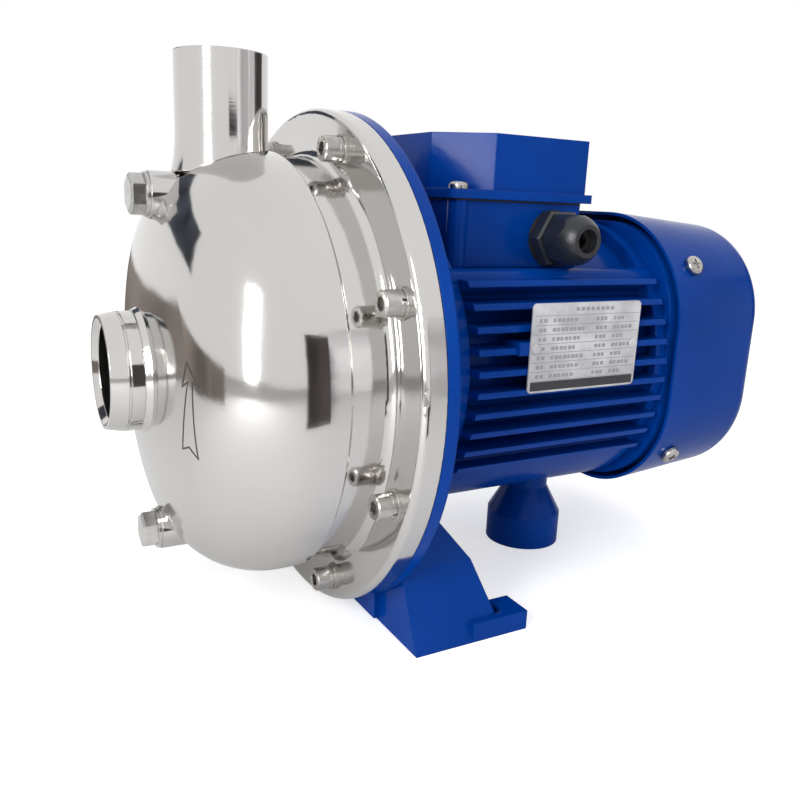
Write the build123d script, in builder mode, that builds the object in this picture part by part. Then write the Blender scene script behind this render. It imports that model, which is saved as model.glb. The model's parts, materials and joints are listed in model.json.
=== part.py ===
from build123d import *
import os
from math import atan2, cos, degrees, hypot, radians, sin, sqrt

# Close-coupled stainless centrifugal booster pump, millimetres, +Z up.
# The shaft lies along X, the suction end looks towards -X and the motor runs towards +X.
# The origin is on the floor, midway between the two foot bolts.
# A station is a distance along the shaft from the joint between pump casing and motor bracket.
# A rise is a height above or below the shaft's centre line.

# Frame of the whole pump
shaft_height = 110.0
foot_bolt_station = 50.0

# Running and assembly clearances
slip_fit = 0.05
bearing_fit = 0.02
running_gap = 0.3
seat_gap = 0.3

# Pump casing: pressed dome over a drawn drum with a turned-down flange
casing_wall = 2.0
flange_r = 109.0
flange_width = 20.5
drum_r = flange_r - flange_width
flange_depth = 9.5
flange_corner_r = 2.6
drum_corner_r = 4.0
drum_front = -31.0
dome_rim = -28.0
knuckle_station = -36.0
knuckle_r = 42.0
dome_depth = 47.5
rim_weld_size = 1.6

# Suction stub on the shaft line
suction_tip = -97.5
suction_r = 24.7
suction_lip_r = 23.3
suction_lip_length = 6.8
suction_bore_r = 19.5
suction_mouth_r = 21.9
suction_groove_depth = 0.6
suction_groove_width = 1.0
suction_weld_width = 2.4
suction_neck_r = 23.5
suction_neck_end = -58.0

# Discharge stub, straight up
discharge_station = -46.0
discharge_r = 18.6
discharge_bore_r = 15.2
discharge_mouth_r = 16.9
discharge_reach = 17.3
discharge_rise = flange_r + discharge_reach
discharge_flare = 1.8
discharge_flare_height = 6.0

# Vent and drain plugs on the dome
plug_inset = 17.5
plug_rise = drum_r - plug_inset
plug_boss_r = 9.3
plug_boss_face = -76.6
plug_thread_r = 4.9
plug_thread_length = 8.0
plug_head_width = 14.0
plug_head_height = 6.0
plug_washer_r = 8.7
plug_washer_thickness = 1.5

# Screws round the casing flange
casing_screw_count = 8
casing_screw_edge = 10.5
casing_screw_circle_r = flange_r - casing_screw_edge
screw_r = 3.0
screw_head_r = 5.0
screw_head_height = 6.0
screw_socket_width = 5.0
screw_socket_depth = 3.2
screw_reach = 16.0
screw_hole_r = 3.3
spring_washer_thickness = 1.6
spring_washer_slit = 0.8
flat_washer_r = 6.0
flat_washer_thickness = 1.2

# Seal plate behind the impeller
seal_plate_wall = 2.5
seal_plate_play = 2.0
seal_plate_r = flange_r - casing_wall - seal_plate_play
seal_plate_step_inset = 3.5
seal_plate_step_r = drum_r - casing_wall - seal_plate_step_inset
seal_plate_step = 10.0
seal_plate_bend_r = 3.2
seal_pocket_r = 19.5
seal_pocket_floor = 1.0
seal_plate_bore_r = 9.5

# Shaft seal
seal_seat_face = -7.5
seal_cup_wall = 2.6
seal_cup_floor = 2.0
seal_head_r = 15.4
seal_head_length = 11.0
seal_face_gap = 0.1
spring_wire_r = 0.9
spring_coil_r = 10.6
spring_turns = 4.0

# Impeller
impeller_r = 65.0
impeller_back = -40.0
impeller_shroud = 1.5
impeller_outlet = 8.0
impeller_inlet = 11.0
impeller_hub_r = 11.0
impeller_hub_front = -52.0
impeller_hub_back = -34.0
impeller_neck_r = 19.0
impeller_neck_wall = 1.8
impeller_neck_front = -63.0
vane_count = 6
vane_thickness = 1.8
vane_inner_r = 20.5
vane_sweep = 78.0
wear_ring_wall = 2.4
wear_ring_length = 5.5
key_width = 4.0
key_height = 4.0
key_length = 12.0

# Shaft
shaft_tip = -61.5
shaft_thread_r = 4.9
shaft_impeller_r = 6.0
shaft_seal_r = 7.0
shaft_front_bearing_r = 8.5
shaft_rotor_r = 12.0
shaft_rear_bearing_r = 7.5
shaft_fan_r = 6.5
impeller_nut_width = 16.0
impeller_nut_height = 8.0
impeller_washer_r = 9.5
impeller_washer_thickness = 1.5
slinger_station = 7.0
slinger_width = 3.0
slinger_r = 17.0

# Bearings, by their real standard sizes
front_bearing_station = 16.0
front_bearing_width = 12.0
front_bearing_r = 20.0
front_ball_r = 3.3
rear_bearing_station = 140.0
rear_bearing_width = 11.0
rear_bearing_r = 17.5
rear_ball_r = 2.9
ball_count = 7
ball_play = 0.1
wave_spring_thickness = 1.2
wave_spring_width = 3.0

# Motor bracket with the front foot
bracket_flange = 5.5
bracket_spigot = 5.0
bracket_face_play = 1.5
bracket_face_inner_r = drum_r + bracket_face_play
bracket_neck_r = 69.0
bracket_wall = 9.0
bracket_neck_end = 22.0
bracket_tail = 5.0
bearing_boss_wall = 6.0
bearing_web = 5.0
bearing_shoulder_r = 11.5
foot_front = 7.5
foot_half_width = 85.0
foot_toe_end = 57.0
foot_toe_width = 15.5
foot_toe_height = 8.8
foot_leg_end = 52.0
foot_knee_height = 31.0
foot_knee_half_width = 69.5
foot_knee_end = 42.5
foot_top_height = 58.0
foot_top_half_width = 52.0
foot_top_end = 23.0
foot_wall = 7.0
foot_bolt_half_spacing = 77.0
foot_bolt_r = 4.0

# Finned motor shell
shell_root_r = 60.0
shell_bore_r = 55.0
shell_collar_r = 66.5
shell_fin_r = 73.4
shell_belly_r = 71.0
fin_start = 38.0
fin_end = 145.0
shell_end = 151.0
fin_pitch = 9.0
fin_thickness = 2.6
side_fin_count = 10
belly_slot_count = 6
belly_angle = 37.0

# Stator, rotor and windings
core_start = 52.0
core_length = 72.0
rotor_r = 33.0
air_gap = 0.4
winding_overhang = 15.0
winding_inner_r = 37.0
winding_outer_r = 51.0
rotor_ring = 5.0

# Rear end shield, tie bolts and fan
shield_thickness = 6.0
shield_half_width = 67.0
shield_corner_r = 49.0
tie_bolt_r = 2.4
tie_bolt_circle_r = 62.5
tie_bolt_angle = 40.0
tie_bolt_rail_r = 5.5
tie_bolt_reach = 9.0
tie_bolt_head_width = 8.0
tie_bolt_head_height = 4.0
fan_station = 173.0
fan_disc = 2.5
fan_blade_length = 24.0
fan_r = 54.0
fan_hub_r = 12.0
fan_hub_front = 170.0
fan_blade_count = 8
fan_blade_thickness = 2.0
shaft_end = 195.0
circlip_thickness = 1.2
circlip_r = 9.5

# Fan cover
cover_front = 153.0
cover_end = 219.6
cover_half_width = 71.4
cover_end_half_width = 65.8
cover_corner_r = 54.0
cover_end_corner_r = 46.0
cover_shoulder_r = 11.0
cover_wall = 1.6
cover_screw_station = 167.5
cover_screw_angle = 34.0
cover_screw_r = 2.4
cover_screw_head_r = 4.8
cover_screw_head_height = 3.0
cover_lug_r = 5.5
cover_screw_lift = 0.6
cover_lug_gap = 1.6
cover_lug_depth = 6.0
grille_rows = 4
grille_slot_width = 5.0
grille_pitch = 10.5
grille_first_r = 15.0
grille_spoke_width = 5.0

# Terminal box on top of the motor
box_start = 42.0
box_end = 114.6
box_half_width = 39.7
box_skirt_rise = 44.0
box_floor_rise = 65.0
box_lip_rise = 74.7
box_wall = 3.0
box_floor = 2.5
box_boss_r = 4.5
box_pad_inset = 6.5
box_pad_half_width = 31.5
box_corner_r = 4.0
box_gasket = 0.8
lid_lip = 3.9
lid_overhang = 3.0
lid_top_rise = 102.5
lid_chamfer = 20.6
lid_wall = 2.5
lid_screw_inset_x = 4.2
lid_screw_inset_y = 2.7
lid_screw_r = 2.0
lid_screw_head_r = 4.4
lid_screw_head_height = 3.2
lid_screw_reach = 14.0
board_length = 42.0
board_width = 22.0
board_offset = -20.0
board_thickness = 5.0
board_station = 70.0
stud_spacing = 13.0
stud_count = 3
stud_r = 2.0
stud_height = 14.0
stud_nut_width = 7.0
stud_nut_height = 3.0
stud_root = 4.0
capacitor_r = 14.0
capacitor_length = 52.0
capacitor_offset = 8.0

# Cable gland on the side of the terminal box
gland_station = 96.3
gland_rise = 58.7
gland_hex_width = 24.0
gland_hex_height = 7.0
gland_thread_r = 8.0
gland_thread_length = 5.0
gland_washer_thickness = 1.5
gland_neck_r = 9.2
gland_neck_length = 10.0
gland_nut_r = 11.6
gland_nut_length = 17.0
gland_nut_hex = 7.0
gland_nut_chamfer = 0.7
gland_mouth_r = 5.2
gland_seal_r = 6.8
gland_cable_r = 3.3

# Nameplate on the near side of the shell
plate_start = 62.4
plate_length = 60.8
plate_height = 38.4
plate_rise = 14.4
plate_thickness = 0.8
plate_corner_r = 2.0
plate_stand_off = 73.5
plate_pad_length = 10.0
plate_pad_overlap = 5.0
rivet_inset = 2.8
plate_pad_height = 5.6
rivet_r = 1.4
rivet_head_r = 2.3
rivet_head_height = 0.9
rivet_reach = 4.0

# Round support under the motor's tail
support_station = 126.0
support_r = 20.0
support_top_r = 11.8
support_skirt = 17.0
support_wall = 3.0
support_shoulder = 32.0
support_pocket_r = 8.8
support_web = 13.0
support_screw_reach = 12.0
support_screw_r = 4.0
support_screw_head_width = 13.0
support_screw_head_height = 5.5

joint_x = -foot_bolt_station
shaft_line = Axis((joint_x, 0, shaft_height), (1, 0, 0))


def lengthwise(y=0.0):
    # Upright plane along the shaft: local x is the station, local y is the rise.
    return Plane((joint_x, y, shaft_height), x_dir=(1, 0, 0), z_dir=(0, -1, 0))


def across(station):
    # Upright plane across the shaft, looking along +X: local x is +Y, local y is the rise.
    return Plane((joint_x + station, 0, shaft_height), x_dir=(0, 1, 0), z_dir=(1, 0, 0))


def level(rise):
    # Level plane: local x is the station, local y is +Y.
    return Plane((joint_x, 0, shaft_height + rise))


def turned(*outline, mode=Mode.ADD):
    # Turns a closed outline of (station, radius) points about the shaft line.
    with BuildSketch(lengthwise()) as section:
        with BuildLine():
            Polyline(*outline, close=True)
        make_face()
    revolve(section.sketch, axis=shaft_line, mode=mode)


def ring(start, end, inner, outer, mode=Mode.ADD):
    turned((start, inner), (end, inner), (end, outer), (start, outer), mode=mode)


def pressed(path, bend, wall, side):
    # Turns a sheet section that follows a path of (station, radius) points.
    with BuildSketch(lengthwise()) as section:
        with BuildLine():
            FilletPolyline(*path, radius=bend)
            offset(amount=wall, side=side)
        make_face()
    revolve(section.sketch, axis=shaft_line)


def save(piece, label):
    piece.part.label = label
    export_step(piece.part, "parts/" + label + ".step")


os.makedirs("parts", exist_ok=True)

# Pressed dome
dome_r = drum_r + slip_fit + casing_wall
crown_r = ((dome_r - knuckle_r) ** 2 + dome_depth ** 2 - knuckle_r ** 2) / (2 * (dome_depth - knuckle_r))
crown_angle = degrees(atan2(dome_r - knuckle_r, crown_r - dome_depth))
crown_station = knuckle_station - dome_depth


def dome_outline(inset):
    # Outline of the dome's half section, moved inwards by a wall thickness.
    with BuildSketch(lengthwise()) as section:
        with BuildLine():
            skirt = Line((dome_rim, dome_r - inset), (knuckle_station, dome_r - inset))
            knuckle = JernArc(skirt @ 1, (-1, 0), knuckle_r - inset, 90 - crown_angle)
            crown = JernArc(knuckle @ 1, knuckle % 1, crown_r - inset, crown_angle)
            Line(crown @ 1, (dome_rim, 0))
            Line((dome_rim, 0), (dome_rim, dome_r - inset))
        make_face()
    return section.sketch


# What is welded onto the dome is cut to this body
with BuildPart() as dome_body:
    revolve(dome_outline(-slip_fit), axis=shaft_line)

with BuildPart() as casing_dome:
    revolve(dome_outline(0), axis=shaft_line)
    revolve(dome_outline(casing_wall), axis=shaft_line, mode=Mode.SUBTRACT)
    ring(crown_station - 1, crown_station + 2 * casing_wall, 0, suction_neck_r + slip_fit, mode=Mode.SUBTRACT)
    with BuildSketch(level(0)):
        with Locations((discharge_station, 0)):
            Circle(discharge_bore_r)
    extrude(amount=dome_r + 1, mode=Mode.SUBTRACT)
    for rise in (plug_rise, -plug_rise):
        with BuildSketch(across(plug_boss_face)):
            with Locations((0, rise)):
                Circle(plug_boss_r + slip_fit)
        extrude(amount=-knuckle_r, both=True, mode=Mode.SUBTRACT)
save(casing_dome, "casing_dome")

# Drawn drum with its flange
ring_back = -(flange_depth - casing_wall)
with BuildPart() as casing_drum:
    pressed(
        [(drum_front, drum_r), (-flange_depth, drum_r), (-flange_depth, flange_r), (0, flange_r)],
        [drum_corner_r, flange_corner_r], casing_wall, Side.RIGHT,
    )
    with BuildSketch(across(-flange_depth)):
        with PolarLocations(casing_screw_circle_r, casing_screw_count, start_angle=180 / casing_screw_count):
            Circle(screw_hole_r)
    extrude(amount=flange_depth, mode=Mode.SUBTRACT)
    with BuildSketch(level(0)):
        with Locations((discharge_station, 0)):
            Circle(discharge_bore_r)
    extrude(amount=drum_r + 1, mode=Mode.SUBTRACT)
save(casing_drum, "casing_drum")

# Weld bead where the dome's rim laps over the drum
with BuildPart() as rim_weld:
    turned(
        (dome_rim, drum_r + slip_fit),
        (dome_rim + rim_weld_size, drum_r + slip_fit),
        (dome_rim, drum_r + rim_weld_size),
    )
save(rim_weld, "rim_weld")

# Suction stub with its inner neck
neck_shoulder = crown_station + crown_r - sqrt(crown_r ** 2 - suction_neck_r ** 2)
lip_end = suction_tip + suction_lip_length
mouth_depth = suction_mouth_r - suction_bore_r
wear_seat_r = impeller_neck_r + running_gap + wear_ring_wall
wear_seat_start = suction_neck_end - wear_ring_length
with BuildPart() as suction_stub:
    turned(
        (suction_tip, suction_mouth_r),
        (suction_tip, suction_lip_r),
        (lip_end, suction_r),
        (lip_end, suction_r - suction_groove_depth),
        (lip_end + suction_groove_width, suction_r - suction_groove_depth),
        (lip_end + suction_groove_width, suction_r),
        (neck_shoulder, suction_r),
        (neck_shoulder, suction_neck_r),
        (suction_neck_end, suction_neck_r),
        (suction_neck_end, wear_seat_r),
        (wear_seat_start, wear_seat_r),
        (wear_seat_start, suction_bore_r),
        (suction_tip + mouth_depth, suction_bore_r),
    )
save(suction_stub, "suction_stub")

# Weld bead between the suction stub and the dome
with BuildPart() as suction_weld:
    turned(
        (neck_shoulder - suction_weld_width, suction_r + slip_fit),
        (neck_shoulder, suction_r + slip_fit + suction_weld_width / 2),
        (neck_shoulder + casing_wall, suction_r + slip_fit + suction_weld_width),
        (neck_shoulder + casing_wall, suction_r + slip_fit),
    )
    add(dome_body.part, mode=Mode.SUBTRACT)
save(suction_weld, "suction_weld")

# Bronze wear ring round the impeller's eye
with BuildPart() as wear_ring:
    ring(wear_seat_start + slip_fit, suction_neck_end, impeller_neck_r + running_gap, wear_seat_r - slip_fit)
save(wear_ring, "wear_ring")

# Discharge stub with a flared foot that saddles the dome
with BuildPart() as discharge_stub:
    saddle_rise = drum_r - 4 * casing_wall
    with BuildSketch(lengthwise()) as section:
        with BuildLine():
            flare_top = dome_r + discharge_flare_height
            right = discharge_station + discharge_r
            Polyline(
                (discharge_station + discharge_bore_r, saddle_rise),
                (
                    discharge_station + discharge_bore_r,
                    discharge_rise - (discharge_mouth_r - discharge_bore_r),
                ),
                (discharge_station + discharge_mouth_r, discharge_rise),
                (right, discharge_rise),
                (right, flare_top),
            )
            TangentArc((right, flare_top), (right + discharge_flare, saddle_rise), tangent=(0, -1))
            Line((right + discharge_flare, saddle_rise), (discharge_station + discharge_bore_r, saddle_rise))
        make_face()
    revolve(axis=Axis((joint_x + discharge_station, 0, 0), (0, 0, 1)))
    add(dome_body.part, mode=Mode.SUBTRACT)
    ring(dome_rim, dome_rim + rim_weld_size, 0, drum_r + rim_weld_size + slip_fit, mode=Mode.SUBTRACT)
    ring(dome_rim, 0, 0, drum_r + slip_fit, mode=Mode.SUBTRACT)
save(discharge_stub, "discharge_stub")

# Threaded bosses let into the dome, with their flat faces towards the suction end
with BuildPart() as plug_bosses:
    with BuildSketch(across(plug_boss_face)):
        with Locations((0, plug_rise), (0, -plug_rise)):
            Circle(plug_boss_r)
    extrude(amount=plug_thread_length + 5)
    with BuildSketch(across(plug_boss_face)):
        with Locations((0, plug_rise), (0, -plug_rise)):
            Circle(plug_thread_r + slip_fit)
    extrude(amount=plug_thread_length + 6, mode=Mode.SUBTRACT)
    revolve(dome_outline(casing_wall * 2), axis=shaft_line, mode=Mode.SUBTRACT)
save(plug_bosses, "plug_bosses")


def plug(rise):
    # Hexagon-head plug with its plain thread.
    head_base = plug_boss_face - plug_washer_thickness
    with BuildPart() as screw:
        with BuildSketch(across(head_base)):
            with Locations((0, rise)):
                RegularPolygon(plug_head_width / 2, 6, major_radius=False, rotation=90)
        extrude(amount=-plug_head_height)
        chamfer(screw.faces().sort_by(Axis.X)[0].edges(), length=0.8)
        with BuildSketch(across(head_base)):
            with Locations((0, rise)):
                Circle(plug_thread_r)
        extrude(amount=plug_washer_thickness + plug_thread_length)
    return screw


def plug_washer(rise):
    # Sealing washer under the plug's head.
    with BuildPart() as washer:
        with BuildSketch(across(plug_boss_face)):
            with Locations((0, rise)):
                Circle(plug_washer_r)
                Circle(plug_thread_r + slip_fit, mode=Mode.SUBTRACT)
        extrude(amount=-plug_washer_thickness)
    return washer


save(plug(plug_rise), "vent_plug")
save(plug(-plug_rise), "drain_plug")
save(plug_washer(plug_rise), "vent_plug_washer")
save(plug_washer(-plug_rise), "drain_plug_washer")

# Socket screws with spring washers and flat washers round the casing flange
flat_washer_face = -flange_depth - flat_washer_thickness
spring_washer_face = flat_washer_face - spring_washer_thickness
screw_places = PolarLocations(casing_screw_circle_r, casing_screw_count, start_angle=180 / casing_screw_count)
with BuildPart() as casing_screws:
    with BuildSketch(across(spring_washer_face)):
        with screw_places:
            Circle(screw_head_r)
    extrude(amount=-screw_head_height)
    chamfer(casing_screws.faces().group_by(Axis.X)[0].edges(), length=0.5)
    with BuildSketch(across(spring_washer_face - screw_head_height)):
        with screw_places:
            RegularPolygon(screw_socket_width / 2, 6, major_radius=False)
    extrude(amount=screw_socket_depth, mode=Mode.SUBTRACT)
    with BuildSketch(across(spring_washer_face)):
        with screw_places:
            Circle(screw_r - slip_fit)
    extrude(amount=screw_reach)
save(casing_screws, "casing_screws")

with BuildPart() as casing_spring_washers:
    with BuildSketch(across(spring_washer_face)):
        with screw_places:
            Circle(screw_head_r + 0.2)
            Circle(screw_r + slip_fit, mode=Mode.SUBTRACT)
            with Locations((screw_head_r, 0)):
                Rectangle(screw_head_r, spring_washer_slit, mode=Mode.SUBTRACT)
    extrude(amount=spring_washer_thickness)
save(casing_spring_washers, "casing_spring_washers")

with BuildPart() as casing_flat_washers:
    with BuildSketch(across(flat_washer_face)):
        with screw_places:
            Circle(flat_washer_r)
            Circle(screw_r + slip_fit, mode=Mode.SUBTRACT)
    extrude(amount=flat_washer_thickness)
save(casing_flat_washers, "casing_flat_washers")

# Seal plate, drawn forward into the drum and back into the seal pocket
plate_face = ring_back
step_face = plate_face - seal_plate_step
with BuildPart() as seal_plate:
    pressed(
        [
            (plate_face, seal_plate_r),
            (plate_face, seal_plate_step_r),
            (step_face, seal_plate_step_r),
            (step_face, seal_pocket_r),
            (seal_pocket_floor, seal_pocket_r),
            (seal_pocket_floor, seal_plate_bore_r),
        ],
        seal_plate_bend_r, seal_plate_wall, Side.LEFT,
    )
    with BuildSketch(across(plate_face)):
        with screw_places:
            Circle(screw_hole_r)
    extrude(amount=seal_plate_wall, mode=Mode.SUBTRACT)
save(seal_plate, "seal_plate")

# O-ring between the seal plate and the drum's inner wall
o_ring_r = (drum_r - casing_wall - seal_plate_step_r) / 2 - slip_fit
with BuildPart() as casing_o_ring:
    with BuildSketch(lengthwise()):
        with Locations((plate_face - drum_corner_r - casing_wall, seal_plate_step_r + o_ring_r + slip_fit)):
            Circle(o_ring_r)
    revolve(axis=shaft_line)
save(casing_o_ring, "casing_o_ring")

# Stationary half of the shaft seal: rubber cup and ceramic seat in the pocket
cup_inner_r = seal_pocket_r - slip_fit - seal_cup_wall
cup_floor_face = seal_pocket_floor - slip_fit - seal_cup_floor
with BuildPart() as seal_seat_cup:
    turned(
        (seal_seat_face + 1, cup_inner_r),
        (cup_floor_face, cup_inner_r),
        (cup_floor_face, seal_plate_bore_r),
        (seal_pocket_floor - slip_fit, seal_plate_bore_r),
        (seal_pocket_floor - slip_fit, seal_pocket_r - seal_plate_bend_r),
        (seal_pocket_floor - slip_fit - seal_plate_bend_r, seal_pocket_r - slip_fit),
        (seal_seat_face + 1, seal_pocket_r - slip_fit),
    )
save(seal_seat_cup, "seal_seat_cup")

with BuildPart() as seal_seat:
    ring(seal_seat_face, cup_floor_face - slip_fit, seal_plate_bore_r, cup_inner_r - slip_fit)
save(seal_seat, "seal_seat")

# Rotating half of the shaft seal: bellows head and its spring
head_front = seal_seat_face - seal_face_gap - seal_head_length
with BuildPart() as seal_head:
    bellows_r = shaft_seal_r + slip_fit
    turned(
        (head_front, bellows_r),
        (seal_seat_face - seal_face_gap, bellows_r),
        (seal_seat_face - seal_face_gap, seal_head_r - 2),
        (seal_seat_face - seal_face_gap - 2, seal_head_r - 2),
        (seal_seat_face - seal_face_gap - 2, seal_head_r),
        (head_front + 3, seal_head_r),
        (head_front + 3, bellows_r + 2.2),
        (head_front, bellows_r + 2.2),
    )
save(seal_head, "seal_head")

# Coil spring that presses the seal head against its seat
spring_start = impeller_hub_back + spring_wire_r + slip_fit
spring_length = head_front - spring_start - spring_wire_r - slip_fit
with BuildPart() as seal_spring:
    with BuildLine():
        coil = Helix(
            pitch=spring_length / spring_turns,
            height=spring_length,
            radius=spring_coil_r,
            center=(joint_x + spring_start, 0, shaft_height),
            direction=(1, 0, 0),
        )
    with BuildSketch(Plane(origin=coil @ 0, z_dir=coil % 0)):
        Circle(spring_wire_r)
    sweep(path=coil, is_frenet=True)
save(seal_spring, "seal_spring")

# Closed impeller with backward-curved vanes
back_face = impeller_back - impeller_shroud
outlet_face = back_face - impeller_outlet
inlet_face = back_face - impeller_inlet
key_station = (impeller_hub_front + impeller_hub_back) / 2
with BuildPart() as impeller:
    with BuildSketch(across(back_face + impeller_shroud / 2)):
        with BuildLine():
            turn = radians(vane_sweep)
            tip = (impeller_r * cos(turn), impeller_r * sin(turn))
            root = (vane_inner_r, 0)
            TangentArc(root, tip, tangent=(cos(radians(62)), sin(radians(62))))
            offset(amount=vane_thickness, side=Side.LEFT)
        vane = make_face()
        vane_step = 360 / vane_count
        with PolarLocations(0, vane_count - 1, start_angle=vane_step, angular_range=360 - vane_step):
            add(vane)
    extrude(amount=-impeller_inlet - impeller_shroud)
    turned(
        (back_face + impeller_shroud, vane_inner_r - 3),
        (back_face + impeller_shroud, impeller_r),
        (outlet_face - impeller_shroud / 2, impeller_r),
        (inlet_face - impeller_shroud / 2, impeller_neck_r + 4),
        (inlet_face - impeller_shroud / 2, vane_inner_r - 3),
        mode=Mode.INTERSECT,
    )
    turned(
        (back_face, impeller_hub_r - 1),
        (impeller_back, impeller_hub_r - 1),
        (impeller_back, impeller_r),
        (back_face, impeller_r),
    )
    turned(
        (outlet_face, impeller_r),
        (outlet_face - impeller_shroud, impeller_r),
        (inlet_face - impeller_shroud, impeller_neck_r + 3),
        (inlet_face - impeller_shroud - 3, impeller_neck_r),
        (impeller_neck_front, impeller_neck_r),
        (impeller_neck_front, impeller_neck_r - impeller_neck_wall),
        (inlet_face - impeller_shroud - 2, impeller_neck_r - impeller_neck_wall),
        (inlet_face, impeller_neck_r + 2),
    )
    ring(impeller_hub_front, impeller_hub_back, shaft_impeller_r + bearing_fit, impeller_hub_r)
    with Locations((joint_x + key_station, 0, shaft_height + shaft_impeller_r)):
        Box(impeller_hub_back - impeller_hub_front + 2, key_width + 2 * slip_fit, key_height + 2 * slip_fit,
            mode=Mode.SUBTRACT)
save(impeller, "impeller")

with BuildPart() as impeller_key:
    with BuildSketch(level(shaft_impeller_r - key_height / 2)):
        with Locations((key_station, 0)):
            SlotOverall(key_length, key_width)
    extrude(amount=key_height)
save(impeller_key, "impeller_key")

with BuildPart() as impeller_washer:
    washer_front = impeller_hub_front - impeller_washer_thickness
    ring(washer_front, impeller_hub_front, shaft_thread_r + slip_fit, impeller_washer_r)
save(impeller_washer, "impeller_washer")

nut_base = impeller_hub_front - impeller_washer_thickness
with BuildPart() as impeller_nut:
    with BuildSketch(across(nut_base)):
        RegularPolygon(impeller_nut_width / 2, 6, major_radius=False)
        Circle(shaft_thread_r + slip_fit, mode=Mode.SUBTRACT)
    extrude(amount=-impeller_nut_height)
    chamfer(impeller_nut.faces().sort_by(Axis.X)[0].outer_wire().edges(), length=1.0)
save(impeller_nut, "impeller_nut")

# Stepped shaft
front_bearing_end = front_bearing_station + front_bearing_width
rear_bearing_end = rear_bearing_station + rear_bearing_width
with BuildPart() as shaft:
    turned(
        (shaft_tip, 0),
        (shaft_tip, shaft_thread_r - 1),
        (shaft_tip + 1, shaft_thread_r),
        (impeller_hub_front, shaft_thread_r),
        (impeller_hub_front, shaft_impeller_r),
        (impeller_hub_back, shaft_impeller_r),
        (impeller_hub_back, shaft_seal_r),
        (front_bearing_station, shaft_seal_r),
        (front_bearing_station, shaft_front_bearing_r),
        (front_bearing_end, shaft_front_bearing_r),
        (front_bearing_end, shaft_rotor_r),
        (rear_bearing_station, shaft_rotor_r),
        (rear_bearing_station, shaft_rear_bearing_r),
        (rear_bearing_end, shaft_rear_bearing_r),
        (rear_bearing_end, shaft_fan_r),
        (shaft_end - 1, shaft_fan_r),
        (shaft_end, shaft_fan_r - 1),
        (shaft_end, 0),
    )
    with BuildSketch(level(shaft_impeller_r - key_height / 2 - slip_fit)):
        with Locations((key_station, 0)):
            SlotOverall(key_length + 2 * slip_fit, key_width + 2 * slip_fit)
    extrude(amount=key_height, mode=Mode.SUBTRACT)
    circlip_face = fan_station + fan_disc + fan_blade_length / 2
    ring(circlip_face, circlip_face + circlip_thickness + 2 * slip_fit, shaft_fan_r - 0.8, shaft_fan_r + 1,
         mode=Mode.SUBTRACT)
save(shaft, "shaft")

with BuildPart() as slinger:
    ring(slinger_station, slinger_station + slinger_width, shaft_seal_r + bearing_fit, slinger_r)
    slinger_end = slinger_station + slinger_width
    ring(slinger_end, slinger_end + slinger_width, shaft_seal_r + bearing_fit, shaft_seal_r + 2)
save(slinger, "slinger")


def bearing(name, station, width, bore_r, outer_r, ball_r):
    # Deep-groove ball bearing as inner ring, outer ring and a caged set of balls.
    middle = station + width / 2
    pitch_r = (bore_r + outer_r) / 2
    land = ball_r * 0.55
    groove_r = ball_r + ball_play
    with BuildPart() as inner_ring:
        ring(station, station + width, bore_r + bearing_fit, pitch_r - land)
        with BuildSketch(lengthwise()):
            with Locations((middle, pitch_r)):
                Circle(groove_r)
        revolve(axis=shaft_line, mode=Mode.SUBTRACT)
    save(inner_ring, name + "_inner_ring")
    with BuildPart() as outer_ring:
        ring(station, station + width, pitch_r + land, outer_r - bearing_fit)
        with BuildSketch(lengthwise()):
            with Locations((middle, pitch_r)):
                Circle(groove_r)
        revolve(axis=shaft_line, mode=Mode.SUBTRACT)
    save(outer_ring, name + "_outer_ring")
    with BuildPart() as balls:
        cage_half = ball_r * 0.45
        cage_land = land - running_gap
        ring(middle - cage_half, middle + cage_half, pitch_r - cage_land, pitch_r + cage_land)
        with Locations(across(middle)):
            with PolarLocations(pitch_r, ball_count):
                Sphere(ball_r)
    save(balls, name + "_balls")


bearing(
    "front_bearing",
    front_bearing_station,
    front_bearing_width,
    shaft_front_bearing_r,
    front_bearing_r,
    front_ball_r,
)
bearing(
    "rear_bearing",
    rear_bearing_station,
    rear_bearing_width,
    shaft_rear_bearing_r,
    rear_bearing_r,
    rear_ball_r,
)

tie_bolt_places = [
    (
        sign_y * tie_bolt_circle_r * cos(radians(tie_bolt_angle)),
        sign_z * tie_bolt_circle_r * sin(radians(tie_bolt_angle)),
    )
    for sign_y in (-1, 1)
    for sign_z in (-1, 1)
]

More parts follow.
